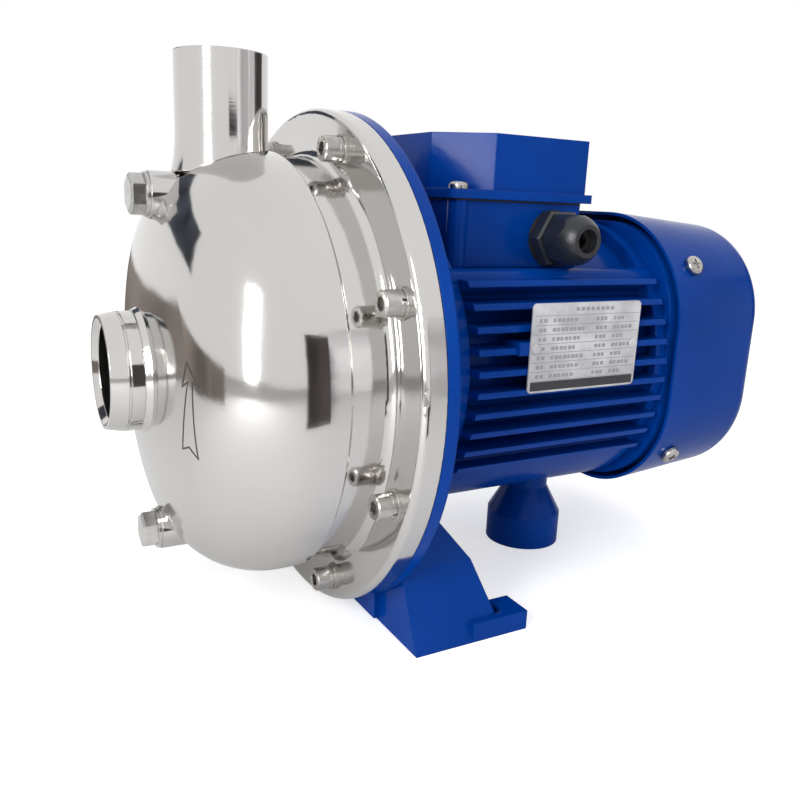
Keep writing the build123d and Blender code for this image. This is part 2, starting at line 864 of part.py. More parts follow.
# Cast motor bracket: flange, neck, bearing housing and the front foot
with BuildPart() as motor_bracket:
    front_pocket = front_bearing_station - bearing_web + 1
    boss_r = front_bearing_r + bearing_boss_wall
    # Foot: leaning leg in two tapers, hollowed from behind
    with BuildSketch(Plane.XY):
        with Locations((joint_x + (foot_front + foot_leg_end) / 2, 0)):
            Rectangle(foot_leg_end - foot_front, 2 * foot_half_width)
    with BuildSketch(Plane.XY.offset(foot_knee_height)):
        with Locations((joint_x + (foot_front + foot_knee_end) / 2, 0)):
            Rectangle(foot_knee_end - foot_front, 2 * foot_knee_half_width)
    loft()
    with BuildSketch(Plane.XY.offset(foot_knee_height)):
        with Locations((joint_x + (foot_front + foot_knee_end) / 2, 0)):
            Rectangle(foot_knee_end - foot_front, 2 * foot_knee_half_width)
    with BuildSketch(Plane.XY.offset(foot_top_height)):
        with Locations((joint_x + (foot_front + foot_top_end) / 2, 0)):
            Rectangle(foot_top_end - foot_front, 2 * foot_top_half_width)
    loft()
    # Hollow between the front wall and the two side walls
    with BuildSketch(Plane.XY):
        with Locations((joint_x + foot_front + foot_wall + foot_leg_end / 2, 0)):
            Rectangle(foot_leg_end, 2 * (foot_half_width - foot_wall - foot_toe_width))
    with BuildSketch(Plane.XY.offset(foot_top_height)):
        with Locations((joint_x + foot_front + foot_wall + foot_leg_end / 2, 0)):
            Rectangle(foot_leg_end, 2 * (foot_top_half_width - foot_wall))
    loft(mode=Mode.SUBTRACT)
    # Toes with the bolt holes
    for side in (-1, 1):
        with BuildSketch(Plane.XY):
            toe_middle = joint_x + (foot_knee_end + foot_toe_end) / 2
            with Locations((toe_middle, side * (foot_half_width - foot_toe_width / 2))):
                Rectangle(foot_toe_end - foot_knee_end + foot_wall * 2, foot_toe_width)
        extrude(amount=foot_toe_height)
    # Web that ties the foot to the back of the flange
    with BuildSketch(across(bracket_flange - 1)):
        with Locations((0, -(shaft_height + shell_root_r) / 2)):
            Rectangle(2 * foot_top_half_width, shaft_height - shell_root_r - 4)
    extrude(amount=foot_front - bracket_flange + 2)
    turned(
        (-bracket_spigot, bracket_face_inner_r),
        (-bracket_spigot, flange_r - casing_wall - running_gap),
        (0, flange_r - casing_wall - running_gap),
        (0.4, flange_r - casing_wall - running_gap),
        (0.4, flange_r),
        (bracket_flange, flange_r),
        (bracket_flange, bracket_neck_r),
        (bracket_neck_end, bracket_neck_r),
        (bracket_neck_end, shell_bore_r - slip_fit),
        (bracket_neck_end + bracket_tail, shell_bore_r - slip_fit),
        (bracket_neck_end + bracket_tail, shell_bore_r - bearing_boss_wall),
        (front_pocket + bearing_web, shell_bore_r - bearing_boss_wall),
        (front_pocket + bearing_web, boss_r),
        (front_bearing_end, boss_r),
        (front_bearing_end, front_bearing_r + bearing_fit),
        (front_bearing_station, front_bearing_r + bearing_fit),
        (front_bearing_station, bearing_shoulder_r),
        (front_pocket, bearing_shoulder_r),
        (front_pocket, bracket_neck_r - bracket_wall),
        (-1, bracket_neck_r - bracket_wall),
        (-1, bracket_face_inner_r),
    )
    # Tapped holes for the casing screws and the tie bolts
    with BuildSketch(across(-bracket_spigot)):
        with screw_places:
            Circle(screw_r)
    extrude(amount=bracket_spigot + bracket_flange, mode=Mode.SUBTRACT)
    with BuildSketch(across(bracket_neck_end)):
        with Locations(*tie_bolt_places):
            Circle(tie_bolt_r)
    extrude(amount=-tie_bolt_reach, mode=Mode.SUBTRACT)
    # Hollow below the neck stays clear of the bearing bay
    ring(-1, front_pocket, 0, bracket_neck_r - bracket_wall, mode=Mode.SUBTRACT)
    with BuildSketch(Plane.XY):
        with GridLocations(0, 2 * foot_bolt_half_spacing, 1, 2):
            Circle(foot_bolt_r)
    extrude(amount=foot_toe_height, mode=Mode.SUBTRACT)
save(motor_bracket, "motor_bracket")

# Finned motor shell
box_middle = (box_start + box_end) / 2
rivet_places = [
    (plate_start + rivet_inset, plate_rise),
    (plate_start + plate_length - rivet_inset, plate_rise),
]
pad_places = [
    (plate_start - plate_pad_overlap + plate_pad_length / 2, plate_rise),
    (plate_start + plate_length - plate_pad_length / 2, plate_rise),
]
with BuildPart() as motor_housing:
    with BuildSketch(across(fin_start)):
        with GridLocations(0, fin_pitch, 1, side_fin_count):
            Rectangle(2 * shell_fin_r, fin_thickness)
        Circle(shell_fin_r, mode=Mode.INTERSECT)
        Circle(shell_root_r)
        with BuildLine(mode=Mode.PRIVATE) as belly_edge:
            belly_start = (
                shell_belly_r * cos(radians(belly_angle)),
                -shell_belly_r * sin(radians(belly_angle)),
            )
            belly_end = (-belly_start[0], belly_start[1])
            ThreePointArc(belly_start, (0, -shell_belly_r), belly_end)
            Polyline(belly_end, (0, 0), belly_start)
        make_face(belly_edge.edges())
        with Locations((0, -shell_belly_r)):
            with GridLocations(fin_pitch, 0, belly_slot_count, 1):
                belly_slot = fin_pitch - fin_thickness - 1
                Rectangle(belly_slot, 2 * (shell_belly_r - shell_root_r), mode=Mode.SUBTRACT)
    extrude(amount=fin_end - fin_start)
    ring(bracket_neck_end, fin_start, 0, shell_collar_r)
    ring(fin_end, shell_end, 0, shell_collar_r)
    # Rails that carry the tie bolts
    with BuildSketch(across(bracket_neck_end)):
        with Locations(*tie_bolt_places):
            Circle(tie_bolt_rail_r)
    extrude(amount=shell_end - bracket_neck_end)
    # Pads behind the nameplate and the boss over the round support
    with BuildSketch(lengthwise()):
        with Locations(*pad_places):
            Rectangle(plate_pad_length, plate_pad_height)
    extrude(amount=plate_stand_off)
    with BuildSketch(level(-shell_belly_r)):
        with Locations((support_station, 0)):
            Circle(support_top_r)
    extrude(amount=shell_belly_r - shell_bore_r)
    ring(bracket_neck_end - 1, shell_end + 1, 0, shell_bore_r, mode=Mode.SUBTRACT)
    with BuildSketch(across(bracket_neck_end)):
        with Locations(*tie_bolt_places):
            Circle(tie_bolt_r + slip_fit)
    extrude(amount=shell_end - bracket_neck_end, mode=Mode.SUBTRACT)
    # Holes for the wires, the support screw and the nameplate rivets
    with BuildSketch(level(0)):
        with Locations((box_middle, 0)):
            Circle(gland_thread_r)
    extrude(amount=shell_fin_r, mode=Mode.SUBTRACT)
    with BuildSketch(level(-shell_belly_r)):
        with Locations((support_station, 0)):
            Circle(support_screw_r)
    extrude(amount=shell_belly_r - shell_bore_r, mode=Mode.SUBTRACT)
    with BuildSketch(lengthwise(-plate_stand_off)):
        with Locations(*rivet_places):
            Circle(rivet_r + slip_fit)
    extrude(amount=-rivet_reach - 1, mode=Mode.SUBTRACT)
save(motor_housing, "motor_housing")

# Rotor and stator
core_end = core_start + core_length
with BuildPart() as rotor_core:
    ring(core_start, core_end, shaft_rotor_r + bearing_fit, rotor_r)
    for end, way in ((core_start, -1), (core_end, 1)):
        ring(min(end, end + way * rotor_ring), max(end, end + way * rotor_ring), rotor_r - 12, rotor_r - 2)
save(rotor_core, "rotor_core")

stator_bore_r = rotor_r + air_gap
with BuildPart() as stator_core:
    with BuildSketch(across(core_start)):
        Circle(shell_bore_r - slip_fit)
        Circle(stator_bore_r, mode=Mode.SUBTRACT)
        with PolarLocations((winding_inner_r + winding_outer_r - 4) / 2, 24):
            Rectangle(winding_outer_r - 4 - winding_inner_r, 4.0, mode=Mode.SUBTRACT)
    extrude(amount=core_length)
save(stator_core, "stator_core")

with BuildPart() as stator_windings:
    with BuildSketch(across(core_start - 1)):
        with PolarLocations((winding_inner_r + winding_outer_r - 4) / 2, 24):
            Rectangle(winding_outer_r - 5 - winding_inner_r, 3.6)
    extrude(amount=core_length + 2)
    for end, way in ((core_start - 1, -1), (core_end + 1, 1)):
        low, high = sorted((end, end + way * winding_overhang))
        ring(low, high, winding_inner_r, winding_outer_r)
    fillet(stator_windings.edges().filter_by(GeomType.CIRCLE).group_by(Axis.X)[0], radius=4)
    fillet(stator_windings.edges().filter_by(GeomType.CIRCLE).group_by(Axis.X)[-1], radius=4)
save(stator_windings, "stator_windings")

# Rear end shield with its bearing seat and the lugs that hold the fan cover
spring_floor = rear_bearing_end + wave_spring_thickness + slip_fit
shield_back = shell_end + shield_thickness


def cover_size_at(station):
    # Half width and corner radius of the tapered cover at a station.
    share = (station - cover_front) / (cover_end - cover_front)
    return (
        cover_half_width + (cover_end_half_width - cover_half_width) * share,
        cover_corner_r + (cover_end_corner_r - cover_corner_r) * share,
    )


cover_half_width_at_screw, cover_corner_r_at_screw = cover_size_at(cover_screw_station)
corner_centre = cover_half_width_at_screw - cover_corner_r_at_screw
screw_directions = [(sign_y, sign_z) for sign_y in (-1, 1) for sign_z in (-1, 1)]


def cover_screw_plane(sign_y, sign_z, depth):
    # Plane square to one cover screw, a given depth below the cover's outer face.
    dir_y = sign_y * cos(radians(cover_screw_angle))
    dir_z = sign_z * sin(radians(cover_screw_angle))
    reach = cover_corner_r_at_screw - depth
    return Plane(
        origin=(
            joint_x + cover_screw_station,
            sign_y * corner_centre + dir_y * reach,
            shaft_height + sign_z * corner_centre + dir_z * reach,
        ),
        x_dir=(1, 0, 0),
        z_dir=(0, dir_y, dir_z),
    )


with BuildPart() as rear_end_shield:
    turned(
        (shell_end - bracket_tail, shell_bore_r - bearing_boss_wall),
        (shell_end - bracket_tail, shell_bore_r - slip_fit),
        (shell_end, shell_bore_r - slip_fit),
        (shield_back, shell_bore_r - slip_fit),
        (shield_back, shaft_rear_bearing_r + 2),
        (spring_floor, shaft_rear_bearing_r + 2),
        (spring_floor, rear_bearing_r + bearing_fit),
        (rear_bearing_station, rear_bearing_r + bearing_fit),
        (rear_bearing_station, rear_bearing_r + bearing_boss_wall),
        (shell_end, rear_bearing_r + bearing_boss_wall),
        (shell_end, shell_bore_r - bearing_boss_wall),
    )
    lug_end = cover_screw_station + cover_lug_r
    for sign_y, sign_z in screw_directions:
        with BuildSketch(cover_screw_plane(sign_y, sign_z, cover_wall + cover_lug_gap)):
            with Locations(((shield_back - 1 + lug_end) / 2 - cover_screw_station, 0)):
                Rectangle(lug_end - shield_back + 1, 2 * cover_lug_r)
        extrude(amount=-cover_lug_depth)
        with BuildSketch(cover_screw_plane(sign_y, sign_z, cover_wall + cover_lug_gap)):
            with Locations((shield_back - cover_screw_station - shield_thickness / 2, 0)):
                Rectangle(shield_thickness, 2 * cover_lug_r)
        extrude(amount=-2 * cover_lug_depth)
        with BuildSketch(cover_screw_plane(sign_y, sign_z, cover_wall)):
            Circle(cover_screw_r)
        extrude(amount=-10, mode=Mode.SUBTRACT)
    # Rounded-square flange that nearly fills the cover's mouth
    with BuildSketch(across(shell_end)):
        RectangleRounded(2 * shield_half_width, 2 * shield_half_width, shield_corner_r)
        Circle(shell_bore_r - 1, mode=Mode.SUBTRACT)
    extrude(amount=shield_thickness)
    with BuildSketch(across(shell_end)):
        with Locations(*tie_bolt_places):
            Circle(tie_bolt_r + slip_fit)
    extrude(amount=shield_thickness, mode=Mode.SUBTRACT)
save(rear_end_shield, "rear_end_shield")

with BuildPart() as wave_spring:
    wave_spring_end = rear_bearing_end + wave_spring_thickness
    ring(rear_bearing_end, wave_spring_end, rear_bearing_r - wave_spring_width, rear_bearing_r - 0.2)
save(wave_spring, "wave_spring")

# Tie bolts from the rear end shield into the bracket's neck
with BuildPart() as tie_bolts:
    with BuildSketch(across(shield_back)):
        with Locations(*tie_bolt_places):
            RegularPolygon(tie_bolt_head_width / 2, 6, major_radius=False)
    extrude(amount=tie_bolt_head_height)
    chamfer(tie_bolts.faces().group_by(Axis.X)[-1].edges(), length=0.5)
    with BuildSketch(across(shield_back)):
        with Locations(*tie_bolt_places):
            Circle(tie_bolt_r)
    extrude(amount=-(shield_back - bracket_neck_end + tie_bolt_reach))
save(tie_bolts, "tie_bolts")

# Cooling fan with its circlip
with BuildPart() as cooling_fan:
    ring(fan_station, fan_station + fan_disc, fan_hub_r - 1, fan_r)
    ring(fan_hub_front, circlip_face, shaft_fan_r + bearing_fit, fan_hub_r)
    with BuildSketch(across(fan_station + fan_disc / 2)):
        with PolarLocations((fan_r + fan_hub_r) / 2, fan_blade_count):
            Rectangle(fan_r - fan_hub_r + 1, fan_blade_thickness)
    extrude(amount=fan_disc / 2 + fan_blade_length)
    turned(
        (fan_hub_front, 0),
        (fan_hub_front, fan_r),
        (fan_station + fan_disc + fan_blade_length, fan_r),
        (circlip_face, fan_hub_r),
        (circlip_face, 0),
        mode=Mode.INTERSECT,
    )
save(cooling_fan, "cooling_fan")

with BuildPart() as fan_circlip:
    with BuildSketch(across(circlip_face + slip_fit)):
        Circle(circlip_r)
        Circle(shaft_fan_r - 0.8 + slip_fit, mode=Mode.SUBTRACT)
        with Locations((0, circlip_r)):
            Rectangle(5, 2 * (circlip_r - shaft_fan_r) + 2, mode=Mode.SUBTRACT)
    extrude(amount=circlip_thickness)
save(fan_circlip, "fan_circlip")


def cover_body(inset):
    # Rounded-square cover, moved inwards by a wall thickness on every side but the open one.
    with BuildPart() as body:
        for station in (cover_front, cover_end - inset):
            half_width, corner_r = cover_size_at(station)
            with BuildSketch(across(station)):
                RectangleRounded(2 * (half_width - inset), 2 * (half_width - inset), corner_r - inset)
        loft()
        fillet(body.faces().sort_by(Axis.X)[-1].edges(), radius=cover_shoulder_r - inset)
    return body.part


with BuildPart() as fan_cover:
    add(cover_body(0))
    add(cover_body(cover_wall), mode=Mode.SUBTRACT)
    # Rings of air slots, parted by spokes
    with BuildSketch(across(cover_end - 2 * cover_wall)):
        for row in reversed(range(grille_rows)):
            slot_r = grille_first_r + row * grille_pitch
            Circle(slot_r + grille_slot_width / 2)
            Circle(slot_r - grille_slot_width / 2, mode=Mode.SUBTRACT)
        with PolarLocations(0, 4, angular_range=180):
            Rectangle(2 * cover_half_width, grille_spoke_width, mode=Mode.SUBTRACT)
    extrude(amount=3 * cover_wall, mode=Mode.SUBTRACT)
    for sign_y, sign_z in screw_directions:
        with BuildSketch(cover_screw_plane(sign_y, sign_z, -1)):
            Circle(cover_screw_r + slip_fit)
        extrude(amount=-10, mode=Mode.SUBTRACT)
save(fan_cover, "fan_cover")

with BuildPart() as fan_cover_screws:
    for sign_y, sign_z in screw_directions:
        with BuildSketch(cover_screw_plane(sign_y, sign_z, -cover_screw_lift)):
            Circle(cover_screw_head_r)
        extrude(amount=cover_screw_head_height)
        with BuildSketch(cover_screw_plane(sign_y, sign_z, -cover_screw_lift)):
            Circle(cover_screw_r - slip_fit)
        extrude(amount=-10)
        with BuildSketch(cover_screw_plane(sign_y, sign_z, -cover_screw_lift - cover_screw_head_height)):
            Rectangle(5.2, 1.1)
            Rectangle(1.1, 5.2)
        extrude(amount=-1.4, mode=Mode.SUBTRACT)
    rims = fan_cover_screws.edges().filter_by(GeomType.CIRCLE)
    head_rims = rims.filter_by(lambda e: abs(e.radius - cover_screw_head_r) < 0.01)
    by_rise = head_rims.group_by(lambda e: round(hypot(e.arc_center.Y, e.arc_center.Z - shaft_height), 1))
    fillet(by_rise[-1], radius=1.6)
save(fan_cover_screws, "fan_cover_screws")

# Terminal box that saddles the shell
box_length = box_end - box_start
box_rim_rise = box_lip_rise - box_gasket


def lid_screw_grid():
    with Locations((lid_screw_inset_x - box_length / 2, 0)):
        return GridLocations(0, 2 * (box_half_width - lid_screw_inset_y), 1, 2)


def box_outline(inset):
    RectangleRounded(box_length - 2 * inset, 2 * (box_half_width - inset), max(box_corner_r - inset, 1.5))


with BuildPart() as box_cavity:
    with BuildSketch(level(box_skirt_rise)):
        with Locations((box_middle, 0)):
            box_outline(box_wall)
            with lid_screw_grid():
                Circle(box_boss_r, mode=Mode.SUBTRACT)
    extrude(amount=box_lip_rise - box_skirt_rise)
    ring(box_start, box_end, 0, shell_root_r + box_floor, mode=Mode.SUBTRACT)
    with BuildSketch(level(box_skirt_rise)):
        with Locations((box_middle, 0)):
            Rectangle(box_length - 2 * box_pad_inset, 2 * box_pad_half_width)
    extrude(amount=box_floor_rise - box_skirt_rise, mode=Mode.SUBTRACT)

with BuildPart() as terminal_box:
    with BuildSketch(level(box_skirt_rise)):
        with Locations((box_middle, 0)):
            box_outline(0)
            with lid_screw_grid():
                Circle(box_boss_r)
    extrude(amount=box_rim_rise - box_skirt_rise)
    add(box_cavity.part, mode=Mode.SUBTRACT)
    ring(box_start - box_boss_r, box_end + box_boss_r, 0, shell_root_r + slip_fit, mode=Mode.SUBTRACT)
    with BuildSketch(level(box_skirt_rise)):
        with Locations((box_middle, 0)):
            Circle(gland_thread_r)
    extrude(amount=box_lip_rise - box_skirt_rise, mode=Mode.SUBTRACT)
    with BuildSketch(level(box_rim_rise)):
        with Locations((box_middle, 0)):
            with lid_screw_grid():
                Circle(lid_screw_r)
    extrude(amount=-lid_screw_reach, mode=Mode.SUBTRACT)
    with BuildSketch(lengthwise(-box_half_width - 1)):
        with Locations((gland_station, gland_rise)):
            Circle(gland_thread_r)
    extrude(amount=-gland_thread_length - 1, mode=Mode.SUBTRACT)
save(terminal_box, "terminal_box")

with BuildPart() as terminal_box_gasket:
    with BuildSketch(level(box_rim_rise)):
        with Locations((box_middle, 0)):
            box_outline(0)
            with lid_screw_grid():
                Circle(box_boss_r)
            box_opening = box_wall
            opening_length = box_length - 2 * box_opening
            opening_width = 2 * (box_half_width - box_opening)
            RectangleRounded(opening_length, opening_width, 1.5, mode=Mode.SUBTRACT)
            with lid_screw_grid():
                Circle(box_boss_r)
                Circle(lid_screw_r + slip_fit, mode=Mode.SUBTRACT)
    extrude(amount=box_gasket)
save(terminal_box_gasket, "terminal_box_gasket")

# Lid: rectangular lip under a cap with two cut corners
with BuildPart() as terminal_box_lid:
    lip_top = box_lip_rise + lid_lip
    with BuildSketch(level(box_lip_rise)):
        with Locations((box_middle, 0)):
            RectangleRounded(box_length + 2 * lid_overhang, 2 * (box_half_width + lid_overhang), 2.0)
    extrude(amount=lid_lip)
    with BuildSketch(level(lip_top)) as cap:
        with Locations((box_middle, 0)):
            Rectangle(box_length, 2 * box_half_width)
        chamfer(cap.vertices().group_by(Axis.X)[0], length=lid_chamfer)
    extrude(amount=lid_top_rise - lip_top)
    with BuildSketch(level(box_lip_rise)) as hollow:
        with Locations((box_middle, 0)):
            Rectangle(box_length, 2 * box_half_width)
        chamfer(hollow.vertices().group_by(Axis.X)[0], length=lid_chamfer)
        offset(amount=-lid_wall, kind=Kind.INTERSECTION, mode=Mode.REPLACE)
    extrude(amount=lid_top_rise - lid_wall - box_lip_rise, mode=Mode.SUBTRACT)
    with BuildSketch(level(box_lip_rise)):
        with Locations((box_middle, 0)):
            with lid_screw_grid():
                Circle(lid_screw_r + seat_gap)
    extrude(amount=lid_lip, mode=Mode.SUBTRACT)
save(terminal_box_lid, "terminal_box_lid")

with BuildPart() as lid_screws:
    with BuildSketch(level(lip_top)):
        with Locations((box_middle, 0)):
            with lid_screw_grid():
                Circle(lid_screw_head_r)
    extrude(amount=lid_screw_head_height)
    fillet(lid_screws.edges().group_by(Axis.Z)[-1], radius=lid_screw_head_height * 0.6)
    with BuildSketch(level(lip_top + lid_screw_head_height)):
        with Locations((box_middle, 0)):
            with lid_screw_grid():
                Rectangle(4.6, 1.0)
                Rectangle(1.0, 4.6)
    extrude(amount=-1.3, mode=Mode.SUBTRACT)
    with BuildSketch(level(lip_top)):
        with Locations((box_middle, 0)):
            with lid_screw_grid():
                Circle(lid_screw_r - slip_fit)
    extrude(amount=-lid_screw_reach)
save(lid_screws, "lid_screws")

# Terminal board with its studs, and the run capacitor
with BuildPart() as terminal_board:
    with BuildSketch(level(box_floor_rise)):
        with Locations((board_station, board_offset)):
            RectangleRounded(board_length, board_width, 2.0)
    extrude(amount=board_thickness)
    with BuildSketch(level(box_floor_rise + board_thickness)):
        with Locations((board_station, board_offset)):
            with GridLocations(stud_spacing, 0, stud_count, 1):
                Circle(stud_r + slip_fit)
    extrude(amount=-stud_root, mode=Mode.SUBTRACT)
save(terminal_board, "terminal_board")

with BuildPart() as terminal_studs:
    with BuildSketch(level(box_floor_rise + board_thickness - stud_root)):
        with Locations((board_station, board_offset)):
            with GridLocations(stud_spacing, 0, stud_count, 1):
                Circle(stud_r)
    extrude(amount=stud_height)
    with BuildSketch(level(box_floor_rise + board_thickness)):
        with Locations((board_station, board_offset)):
            with GridLocations(stud_spacing, 0, stud_count, 1):
                RegularPolygon(stud_nut_width / 2, 6, major_radius=False)
    extrude(amount=stud_nut_height)
save(terminal_studs, "terminal_studs")

with BuildPart() as capacitor:
    with BuildSketch(across(box_middle - capacitor_length / 2)):
        with Locations((capacitor_offset, box_floor_rise + capacitor_r + slip_fit)):
            Circle(capacitor_r)
    extrude(amount=capacitor_length)
    fillet(capacitor.edges().group_by(Axis.X)[-1], radius=2.0)
    with BuildSketch(across(box_middle - capacitor_length / 2)):
        with Locations((capacitor_offset, box_floor_rise + capacitor_r)):
            with GridLocations(10, 0, 2, 1):
                Rectangle(0.8, 6.3)
    extrude(amount=-4)
save(capacitor, "capacitor")

# Cable gland with its axis towards -Y
gland_axis = Axis((joint_x + gland_station, 0, shaft_height + gland_rise), (0, -1, 0))
gland_face = box_half_width + gland_washer_thickness
gland_neck_face = gland_face + gland_hex_height
gland_nut_face = gland_neck_face + seat_gap
gland_neck_end = gland_neck_face + gland_neck_length
gland_end = gland_nut_face + gland_nut_length


def gland_disc(start, end, radius, mode=Mode.ADD):
    # Cylinder on the gland's axis between two distances from the shaft line.
    with BuildSketch(lengthwise(-start)) as disc:
        with Locations((gland_station, gland_rise)):
            Circle(radius)
    extrude(disc.sketch, amount=end - start, mode=mode)


with BuildPart() as gland_washer:
    gland_disc(box_half_width, gland_face, gland_hex_width / 2 + 0.6)
    gland_disc(box_half_width, gland_face, gland_thread_r + slip_fit, mode=Mode.SUBTRACT)
save(gland_washer, "gland_washer")

with BuildPart() as gland_body:
    with BuildSketch(lengthwise(-gland_face)):
        with Locations((gland_station, gland_rise)):
            RegularPolygon(gland_hex_width / 2, 6, major_radius=False)
    extrude(amount=gland_hex_height)
    chamfer(gland_body.faces().sort_by(Axis.Y)[0].edges(), length=1.0)
    gland_disc(box_half_width - gland_thread_length, gland_face, gland_thread_r - slip_fit)
    gland_disc(gland_neck_face - 1, gland_neck_end, gland_neck_r)
    gland_disc(box_half_width - gland_thread_length, gland_neck_end, gland_mouth_r, mode=Mode.SUBTRACT)
    gland_disc(gland_nut_face, gland_neck_end, gland_seal_r + slip_fit, mode=Mode.SUBTRACT)
save(gland_body, "gland_body")

with BuildPart() as gland_nut:
    with BuildSketch(lengthwise(-gland_nut_face)):
        with Locations((gland_station, gland_rise)):
            RegularPolygon(gland_nut_r - gland_nut_chamfer, 6, major_radius=False)
    extrude(amount=gland_nut_length)
    with BuildSketch(level(gland_rise)) as profile:
        with BuildLine():
            centre = gland_station
            Polyline(
                (centre, -gland_nut_face),
                (centre + gland_nut_r, -gland_nut_face),
                (centre + gland_nut_r, -gland_nut_face - gland_nut_hex),
            )
            TangentArc(
                (centre + gland_nut_r, -gland_nut_face - gland_nut_hex),
                (centre + gland_mouth_r + 2, -gland_end),
                tangent=(0, -1),
            )
            Polyline(
                (centre + gland_mouth_r + 2, -gland_end),
                (centre, -gland_end),
                (centre, -gland_nut_face),
            )
        make_face()
    revolve(profile.sketch, axis=gland_axis, mode=Mode.INTERSECT)
    gland_disc(gland_nut_face, gland_neck_end + 0.5, gland_neck_r + slip_fit, mode=Mode.SUBTRACT)
    gland_disc(gland_nut_face, gland_neck_end + 2.5, gland_seal_r + 0.2, mode=Mode.SUBTRACT)
    gland_disc(gland_nut_face, gland_end, gland_mouth_r, mode=Mode.SUBTRACT)
save(gland_nut, "gland_nut")

with BuildPart() as gland_seal:
    gland_disc(gland_nut_face + slip_fit, gland_neck_end + 2.4, gland_seal_r)
    gland_disc(gland_nut_face, gland_neck_end + 2.4, gland_cable_r, mode=Mode.SUBTRACT)
save(gland_seal, "gland_seal")

# Nameplate and its rivets
with BuildPart() as nameplate:
    with BuildSketch(lengthwise(-plate_stand_off)):
        with Locations((plate_start + plate_length / 2, plate_rise)):
            RectangleRounded(plate_length, plate_height, plate_corner_r)
        with Locations(*rivet_places):
            Circle(rivet_r + slip_fit, mode=Mode.SUBTRACT)
    extrude(amount=plate_thickness)
save(nameplate, "nameplate")

with BuildPart() as nameplate_rivets:
    with BuildSketch(lengthwise(-plate_stand_off - plate_thickness)):
        with Locations(*rivet_places):
            Circle(rivet_head_r)
    extrude(amount=rivet_head_height)
    fillet(nameplate_rivets.edges().group_by(Axis.Y)[0], radius=rivet_head_height * 0.7)
    with BuildSketch(lengthwise(-plate_stand_off - plate_thickness)):
        with Locations(*rivet_places):
            Circle(rivet_r)
    extrude(amount=-plate_thickness - rivet_reach)
save(nameplate_rivets, "nameplate_rivets")

# Round support under the motor with its screw
support_top = shaft_height - shell_belly_r
support_axis = Axis((joint_x + support_station, 0, 0), (0, 0, 1))
with BuildPart() as motor_support:
    with BuildSketch(Plane.XZ) as profile:
        with BuildLine():
            centre = joint_x + support_station
            web_base = support_top - support_web
            Polyline(
                (centre + support_r - support_wall, 0),
                (centre + support_r, 0),
                (centre + support_r, support_skirt),
                (centre + support_top_r, support_shoulder),
                (centre + support_top_r, support_top),
                (centre + support_screw_r + slip_fit, support_top),
                (centre + support_screw_r + slip_fit, web_base),
                (centre + support_pocket_r, web_base),
                (centre + support_r - support_wall, support_skirt - support_wall),
                close=True,
            )
        make_face()
    revolve(profile.sketch, axis=support_axis)
save(motor_support, "motor_support")

with BuildPart() as support_screw:
    with BuildSketch(Plane.XY.offset(web_base)):
        with Locations((joint_x + support_station, 0)):
            RegularPolygon(support_screw_head_width / 2, 6, major_radius=False)
    extrude(amount=-support_screw_head_height)
    with BuildSketch(Plane.XY.offset(web_base)):
        with Locations((joint_x + support_station, 0)):
            Circle(support_screw_r - slip_fit)
    extrude(amount=support_web + support_screw_reach)
save(support_screw, "support_screw")
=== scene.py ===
import json
from math import atan2, cos, hypot, pi, radians, sin, sqrt

import bmesh
import bpy
from mathutils import Matrix, Vector


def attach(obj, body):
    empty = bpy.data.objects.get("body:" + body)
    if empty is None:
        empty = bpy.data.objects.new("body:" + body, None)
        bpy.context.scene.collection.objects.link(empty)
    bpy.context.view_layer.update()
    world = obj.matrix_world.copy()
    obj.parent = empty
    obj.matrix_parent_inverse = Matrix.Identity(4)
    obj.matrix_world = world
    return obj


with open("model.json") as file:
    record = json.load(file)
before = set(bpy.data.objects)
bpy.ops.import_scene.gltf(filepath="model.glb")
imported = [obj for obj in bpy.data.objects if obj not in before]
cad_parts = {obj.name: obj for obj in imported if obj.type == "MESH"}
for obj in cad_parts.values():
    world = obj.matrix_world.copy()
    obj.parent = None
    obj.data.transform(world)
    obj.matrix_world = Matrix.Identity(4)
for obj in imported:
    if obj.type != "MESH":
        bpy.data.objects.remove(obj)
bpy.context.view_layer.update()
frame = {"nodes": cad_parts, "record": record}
nodes = frame["nodes"]

MM = 0.001
JOINT_X = -50.0
SHAFT_Z = 110.0


def place(station, y, rise):
    # Point in metres from a station along the shaft, a side distance and a rise over the shaft line.
    return Vector(((JOINT_X + station) * MM, y * MM, (SHAFT_Z + rise) * MM))


# Camera, fitted to the photograph
AZIMUTH, ELEVATION, ROLL = radians(-29.57), radians(14.0), radians(2.43)
back = Vector((sin(AZIMUTH) * cos(ELEVATION), -cos(AZIMUTH) * cos(ELEVATION), sin(ELEVATION)))
right = (-back).cross(Vector((0, 0, 1))).normalized()
up = right.cross(-back)
rolled_right = cos(ROLL) * right + sin(ROLL) * up
rolled_up = -sin(ROLL) * right + cos(ROLL) * up
camera_data = bpy.data.cameras.new("camera")
camera_data.sensor_width = 36.0
camera_data.lens = 36.07
camera_data.clip_start = 0.01
camera_data.clip_end = 50.0
camera = bpy.data.objects.new("camera", camera_data)
bpy.context.collection.objects.link(camera)
axes = Matrix((rolled_right, rolled_up, back)).transposed().to_4x4()
camera.matrix_world = Matrix.Translation(place(-147.9, -336.0, 72.9)) @ axes
bpy.context.scene.camera = camera


